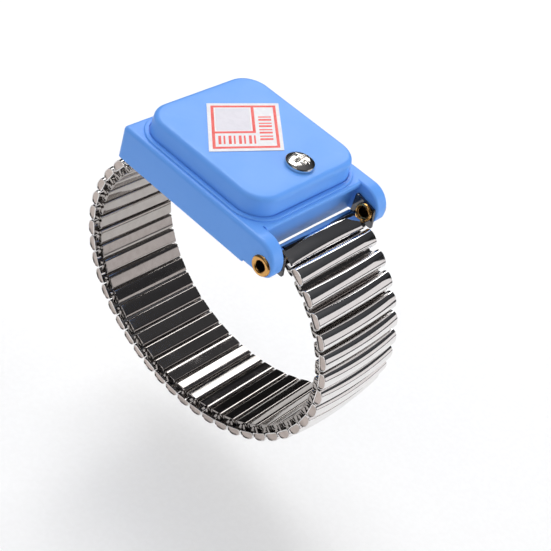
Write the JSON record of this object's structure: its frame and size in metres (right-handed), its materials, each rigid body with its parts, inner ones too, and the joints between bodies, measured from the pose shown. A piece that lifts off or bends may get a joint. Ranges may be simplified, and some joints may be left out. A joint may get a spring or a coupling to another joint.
{
  "type": "cordless wrist strap",
  "caption": "Cordless antistatic wrist strap: a plastic case with a skin plate and a resistor inside, closed by an elastic band of steel sleeves.",
  "frame": {"origin": "centre of the back plate's skin face", "axes": "+Z out of the skin through the case, +X along the band over the case towards the eyelets, +Y across the band"},
  "size_m": [0.0627, 0.0318, 0.0589],
  "materials": {
    "blue_plastic": "satin moulded, cornflower blue",
    "label_paper": "printed paper label",
    "stainless": "brushed",
    "chrome_screw": "polished",
    "brass_nut": "plain",
    "tinned": "tinned",
    "resistor_coat": "lacquered",
    "brass": "bright",
    "bright_steel": "mirror polished"
  },
  "bodies": {
    "case": {"base_housing": "blue_plastic", "top_cover": "blue_plastic", "label": "label_paper", "back_plate": "stainless", "terminal_screw": "chrome_screw", "screw_nut": "brass_nut", "ring_terminal": "tinned", "resistor_body": "resistor_coat", "resistor_leads": "tinned", "contact_strip": "tinned", "eyelet_near": "brass", "eyelet_far": "brass", "left_hinge_pin": "stainless"},
    "bracket_right": {"end_bracket_right": "bright_steel"},
    "bracket_left": {"end_bracket_left": "bright_steel"},
    "link_right_01": {"link_right_01": "bright_steel"},
    "link_right_02": {"link_right_02": "bright_steel"},
    "link_right_03": {"link_right_03": "bright_steel"},
    "link_right_04": {"link_right_04": "bright_steel"},
    "link_right_05": {"link_right_05": "bright_steel"},
    "flex_sleeve_right_05": {"flex_sleeve_right_05": "bright_steel"},
    "link_right_06": {"link_right_06": "bright_steel"},
    "link_right_07": {"link_right_07": "bright_steel"},
    "link_right_08": {"link_right_08": "bright_steel"},
    "link_right_09": {"link_right_09": "bright_steel"},
    "link_right_10": {"link_right_10": "bright_steel"},
    "flex_sleeve_right_10": {"flex_sleeve_right_10": "bright_steel"},
    "link_right_11": {"link_right_11": "bright_steel"},
    "link_right_12": {"link_right_12": "bright_steel"},
    "link_right_13": {"link_right_13": "bright_steel"},
    "link_right_14": {"link_right_14": "bright_steel"},
    "link_right_15": {"link_right_15": "bright_steel"},
    "flex_sleeve_right_15": {"flex_sleeve_right_15": "bright_steel"},
    "link_right_16": {"link_right_16": "bright_steel"},
    "link_right_17": {"link_right_17": "bright_steel"},
    "link_right_18": {"link_right_18": "bright_steel"},
    "link_right_19": {"link_right_19": "bright_steel"},
    "link_left_01": {"link_left_01": "bright_steel"},
    "link_left_02": {"link_left_02": "bright_steel"},
    "link_left_03": {"link_left_03": "bright_steel"},
    "link_left_04": {"link_left_04": "bright_steel"},
    "link_left_05": {"link_left_05": "bright_steel"},
    "flex_sleeve_left_05": {"flex_sleeve_left_05": "bright_steel"},
    "link_left_06": {"link_left_06": "bright_steel"},
    "link_left_07": {"link_left_07": "bright_steel"},
    "link_left_08": {"link_left_08": "bright_steel"},
    "link_left_09": {"link_left_09": "bright_steel"},
    "link_left_10": {"link_left_10": "bright_steel"},
    "flex_sleeve_left_10": {"flex_sleeve_left_10": "bright_steel"},
    "link_left_11": {"link_left_11": "bright_steel"},
    "link_left_12": {"link_left_12": "bright_steel"},
    "link_left_13": {"link_left_13": "bright_steel"},
    "link_left_14": {"link_left_14": "bright_steel"},
    "link_left_15": {"link_left_15": "bright_steel"},
    "flex_sleeve_left_15": {"flex_sleeve_left_15": "bright_steel"},
    "link_left_16": {"link_left_16": "bright_steel"},
    "link_left_17": {"link_left_17": "bright_steel"},
    "link_left_18": {"link_left_18": "bright_steel"},
    "link_left_19": {"link_left_19": "bright_steel"}
  },
  "joints": [
    {"name": "bracket_right_swing", "type": "hinge", "parent": "case", "child": "bracket_right", "pos_m": [0.01635, 0, 0.00263], "axis": [0, -1, 0], "range_deg": [-0.5, 10.82]},
    {"name": "slide_right_01", "type": "slide", "parent": "bracket_right", "child": "link_right_01", "axis": [0.8806, 0, -0.4738], "range_m": [0, 0.0006507]},
    {"name": "slide_right_02", "type": "slide", "parent": "link_right_01", "child": "link_right_02", "axis": [0.808, 0, -0.5892], "range_m": [0, 0.0007383]},
    {"name": "slide_right_03", "type": "slide", "parent": "link_right_02", "child": "link_right_03", "axis": [0.7149, 0, -0.6993], "range_m": [0, 0.0008259]},
    {"name": "slide_right_04", "type": "slide", "parent": "link_right_03", "child": "link_right_04", "axis": [0.6012, 0, -0.7991], "range_m": [0, 0.0009135]},
    {"name": "slide_right_05", "type": "slide", "parent": "link_right_04", "child": "link_right_05", "axis": [0.4673, 0, -0.8841], "range_m": [0, 0.001]},
    {"name": "flex_right_05", "type": "hinge", "parent": "link_right_05", "child": "flex_sleeve_right_05", "pos_m": [0.02949, 0, -0.01248], "axis": [0, 1, 0], "range_deg": [-2.93, 1.72]},
    {"name": "slide_right_06", "type": "slide", "parent": "flex_sleeve_right_05", "child": "link_right_06", "axis": [0.3156, 0, -0.9489], "range_m": [0, 0.00109]},
    {"name": "slide_right_07", "type": "slide", "parent": "link_right_06", "child": "link_right_07", "axis": [0.1519, 0, -0.9884], "range_m": [0, 0.00118]},
    {"name": "slide_right_08", "type": "slide", "parent": "link_right_07", "child": "link_right_08", "axis": [-0.0141, 0, -0.9999], "range_m": [0, 0.00126]},
    {"name": "slide_right_09", "type": "slide", "parent": "link_right_08", "child": "link_right_09", "axis": [-0.1766, 0, -0.9843], "range_m": [0, 0.00135]},
    {"name": "slide_right_10", "type": "slide", "parent": "link_right_09", "child": "link_right_10", "axis": [-0.3279, 0, -0.9447], "range_m": [0, 0.00135]},
    {"name": "band_flex", "type": "hinge", "parent": "link_right_10", "child": "flex_sleeve_right_10", "pos_m": [0.0289, 0, -0.02859], "axis": [0, 1, 0], "range_deg": [-4, 7], "stiffness_Nm_per_rad": 0.5},
    {"name": "slide_right_11", "type": "slide", "parent": "flex_sleeve_right_10", "child": "link_right_11", "axis": [-0.4661, 0, -0.8847], "range_m": [0, 0.00135]},
    {"name": "band_stretch", "type": "slide", "parent": "link_right_11", "child": "link_right_12", "axis": [-0.5882, 0, -0.8087], "range_m": [0, 0.00135], "stiffness_N_per_m": 20000, "springref_m": -0.0008},
    {"name": "slide_right_13", "type": "slide", "parent": "link_right_12", "child": "link_right_13", "axis": [-0.6912, 0, -0.7227], "range_m": [0, 0.00135]},
    {"name": "slide_right_14", "type": "slide", "parent": "link_right_13", "child": "link_right_14", "axis": [-0.7758, 0, -0.631], "range_m": [0, 0.00135]},
    {"name": "slide_right_15", "type": "slide", "parent": "link_right_14", "child": "link_right_15", "axis": [-0.8451, 0, -0.5347], "range_m": [0, 0.00135]},
    {"name": "flex_right_15", "type": "hinge", "parent": "link_right_15", "child": "flex_sleeve_right_15", "pos_m": [0.01762, 0, -0.04], "axis": [0, 1, 0], "range_deg": [-4.3, 2.5]},
    {"name": "slide_right_16", "type": "slide", "parent": "flex_sleeve_right_15", "child": "link_right_16", "axis": [-0.8996, 0, -0.4368], "range_m": [0, 0.00135]},
    {"name": "slide_right_17", "type": "slide", "parent": "link_right_16", "child": "link_right_17", "axis": [-0.9412, 0, -0.3378], "range_m": [0, 0.00135]},
    {"name": "slide_right_18", "type": "slide", "parent": "link_right_17", "child": "link_right_18", "axis": [-0.9708, 0, -0.2397], "range_m": [0, 0.00135]},
    {"name": "slide_right_19", "type": "slide", "parent": "link_right_18", "child": "link_right_19", "axis": [-0.99, 0, -0.141], "range_m": [0, 0.00135]},
    {"name": "bracket_left_swing", "type": "hinge", "parent": "case", "child": "bracket_left", "pos_m": [-0.014, 0, 0.0025], "axis": [0, 1, 0], "range_deg": [-0.5, 9.97]},
    {"name": "slide_left_01", "type": "slide", "parent": "bracket_left", "child": "link_left_01", "axis": [-0.8285, 0, -0.56], "range_m": [0, 0.0006507]},
    {"name": "slide_left_02", "type": "slide", "parent": "link_left_01", "child": "link_left_02", "axis": [-0.7397, 0, -0.6729], "range_m": [0, 0.0007383]},
    {"name": "slide_left_03", "type": "slide", "parent": "link_left_02", "child": "link_left_03", "axis": [-0.629, 0, -0.7774], "range_m": [0, 0.0008259]},
    {"name": "slide_left_04", "type": "slide", "parent": "link_left_03", "child": "link_left_04", "axis": [-0.4973, 0, -0.8676], "range_m": [0, 0.0009135]},
    {"name": "slide_left_05", "type": "slide", "parent": "link_left_04", "child": "link_left_05", "axis": [-0.345, 0, -0.9386], "range_m": [0, 0.001]},
    {"name": "flex_left_05", "type": "hinge", "parent": "link_left_05", "child": "flex_sleeve_left_05", "pos_m": [-0.02515, 0, -0.01521], "axis": [0, -1, 0], "range_deg": [-2.9, 1.7]},
    {"name": "slide_left_06", "type": "slide", "parent": "flex_sleeve_left_05", "child": "link_left_06", "axis": [-0.1804, 0, -0.9836], "range_m": [0, 0.00109]},
    {"name": "slide_left_07", "type": "slide", "parent": "link_left_06", "child": "link_left_07", "axis": [-0.0106, 0, -0.9999], "range_m": [0, 0.00118]},
    {"name": "slide_left_08", "type": "slide", "parent": "link_left_07", "child": "link_left_08", "axis": [0.1569, 0, -0.9876], "range_m": [0, 0.00126]},
    {"name": "slide_left_09", "type": "slide", "parent": "link_left_08", "child": "link_left_09", "axis": [0.312, 0, -0.9501], "range_m": [0, 0.00135]},
    {"name": "slide_left_10", "type": "slide", "parent": "link_left_09", "child": "link_left_10", "axis": [0.4517, 0, -0.8922], "range_m": [0, 0.00135]},
    {"name": "flex_left_10", "type": "hinge", "parent": "link_left_10", "child": "flex_sleeve_left_10", "pos_m": [-0.02232, 0, -0.03111], "axis": [0, -1, 0], "range_deg": [-4.1, 7.1]},
    {"name": "slide_left_11", "type": "slide", "parent": "flex_sleeve_left_10", "child": "link_left_11", "axis": [0.5745, 0, -0.8185], "range_m": [0, 0.00135]},
    {"name": "slide_left_12", "type": "slide", "parent": "link_left_11", "child": "link_left_12", "axis": [0.6794, 0, -0.7338], "range_m": [0, 0.00135]},
    {"name": "slide_left_13", "type": "slide", "parent": "link_left_12", "child": "link_left_13", "axis": [0.7675, 0, -0.6411], "range_m": [0, 0.00135]},
    {"name": "slide_left_14", "type": "slide", "parent": "link_left_13", "child": "link_left_14", "axis": [0.8383, 0, -0.5452], "range_m": [0, 0.00135]},
    {"name": "slide_left_15", "type": "slide", "parent": "link_left_14", "child": "link_left_15", "axis": [0.8942, 0, -0.4477], "range_m": [0, 0.00135]},
    {"name": "flex_left_15", "type": "hinge", "parent": "link_left_15", "child": "flex_sleeve_left_15", "pos_m": [-0.0098, 0, -0.04123], "axis": [0, -1, 0], "range_deg": [-4.27, 2.48]},
    {"name": "slide_left_16", "type": "slide", "parent": "flex_sleeve_left_15", "child": "link_left_16", "axis": [0.9371, 0, -0.3489], "range_m": [0, 0.00135]},
    {"name": "slide_left_17", "type": "slide", "parent": "link_left_16", "child": "link_left_17", "axis": [0.968, 0, -0.2509], "range_m": [0, 0.00135]},
    {"name": "slide_left_18", "type": "slide", "parent": "link_left_17", "child": "link_left_18", "axis": [0.9884, 0, -0.1522], "range_m": [0, 0.00135]},
    {"name": "slide_left_19", "type": "slide", "parent": "link_left_18", "child": "link_left_19", "axis": [0.9985, 0, -0.0542], "range_m": [0, 0.00135]}
  ],
  "couplings": [
    {"joint": "bracket_right_swing", "follows": "band_stretch", "rad_per_m": 133.47},
    {"joint": "slide_right_01", "follows": "band_stretch", "ratio": 0.48148},
    {"joint": "slide_right_02", "follows": "band_stretch", "ratio": 0.5463},
    {"joint": "slide_right_03", "follows": "band_stretch", "ratio": 0.61111},
    {"joint": "slide_right_04", "follows": "band_stretch", "ratio": 0.67593},
    {"joint": "slide_right_05", "follows": "band_stretch", "ratio": 0.74074},
    {"joint": "flex_right_05", "follows": "band_flex", "ratio": -0.40395},
    {"joint": "slide_right_06", "follows": "band_stretch", "ratio": 0.80556},
    {"joint": "slide_right_07", "follows": "band_stretch", "ratio": 0.87037},
    {"joint": "slide_right_08", "follows": "band_stretch", "ratio": 0.93519},
    {"joint": "slide_right_09", "follows": "band_stretch", "ratio": 1},
    {"joint": "slide_right_10", "follows": "band_stretch", "ratio": 1},
    {"joint": "slide_right_11", "follows": "band_stretch", "ratio": 1},
    {"joint": "slide_right_13", "follows": "band_stretch", "ratio": 1},
    {"joint": "slide_right_14", "follows": "band_stretch", "ratio": 1},
    {"joint": "slide_right_15", "follows": "band_stretch", "ratio": 1},
    {"joint": "flex_right_15", "follows": "band_flex", "ratio": -0.60007},
    {"joint": "slide_right_16", "follows": "band_stretch", "ratio": 1},
    {"joint": "slide_right_17", "follows": "band_stretch", "ratio": 1},
    {"joint": "slide_right_18", "follows": "band_stretch", "ratio": 1},
    {"joint": "slide_right_19", "follows": "band_stretch", "ratio": 1},
    {"joint": "bracket_left_swing", "follows": "band_stretch", "rad_per_m": 122.38},
    {"joint": "slide_left_01", "follows": "band_stretch", "ratio": 0.48148},
    {"joint": "slide_left_02", "follows": "band_stretch", "ratio": 0.5463},
    {"joint": "slide_left_03", "follows": "band_stretch", "ratio": 0.61111},
    {"joint": "slide_left_04", "follows": "band_stretch", "ratio": 0.67593},
    {"joint": "slide_left_05", "follows": "band_stretch", "ratio": 0.74074},
    {"joint": "flex_left_05", "follows": "band_flex", "ratio": -0.40026},
    {"joint": "slide_left_06", "follows": "band_stretch", "ratio": 0.80556},
    {"joint": "slide_left_07", "follows": "band_stretch", "ratio": 0.87037},
    {"joint": "slide_left_08", "follows": "band_stretch", "ratio": 0.93519},
    {"joint": "slide_left_09", "follows": "band_stretch", "ratio": 1},
    {"joint": "slide_left_10", "follows": "band_stretch", "ratio": 1},
    {"joint": "flex_left_10", "follows": "band_flex", "ratio": 1},
    {"joint": "slide_left_11", "follows": "band_stretch", "ratio": 1},
    {"joint": "slide_left_12", "follows": "band_stretch", "ratio": 1},
    {"joint": "slide_left_13", "follows": "band_stretch", "ratio": 1},
    {"joint": "slide_left_14", "follows": "band_stretch", "ratio": 1},
    {"joint": "slide_left_15", "follows": "band_stretch", "ratio": 1},
    {"joint": "flex_left_15", "follows": "band_flex", "ratio": -0.59572},
    {"joint": "slide_left_16", "follows": "band_stretch", "ratio": 1},
    {"joint": "slide_left_17", "follows": "band_stretch", "ratio": 1},
    {"joint": "slide_left_18", "follows": "band_stretch", "ratio": 1},
    {"joint": "slide_left_19", "follows": "band_stretch", "ratio": 1}
  ]
}
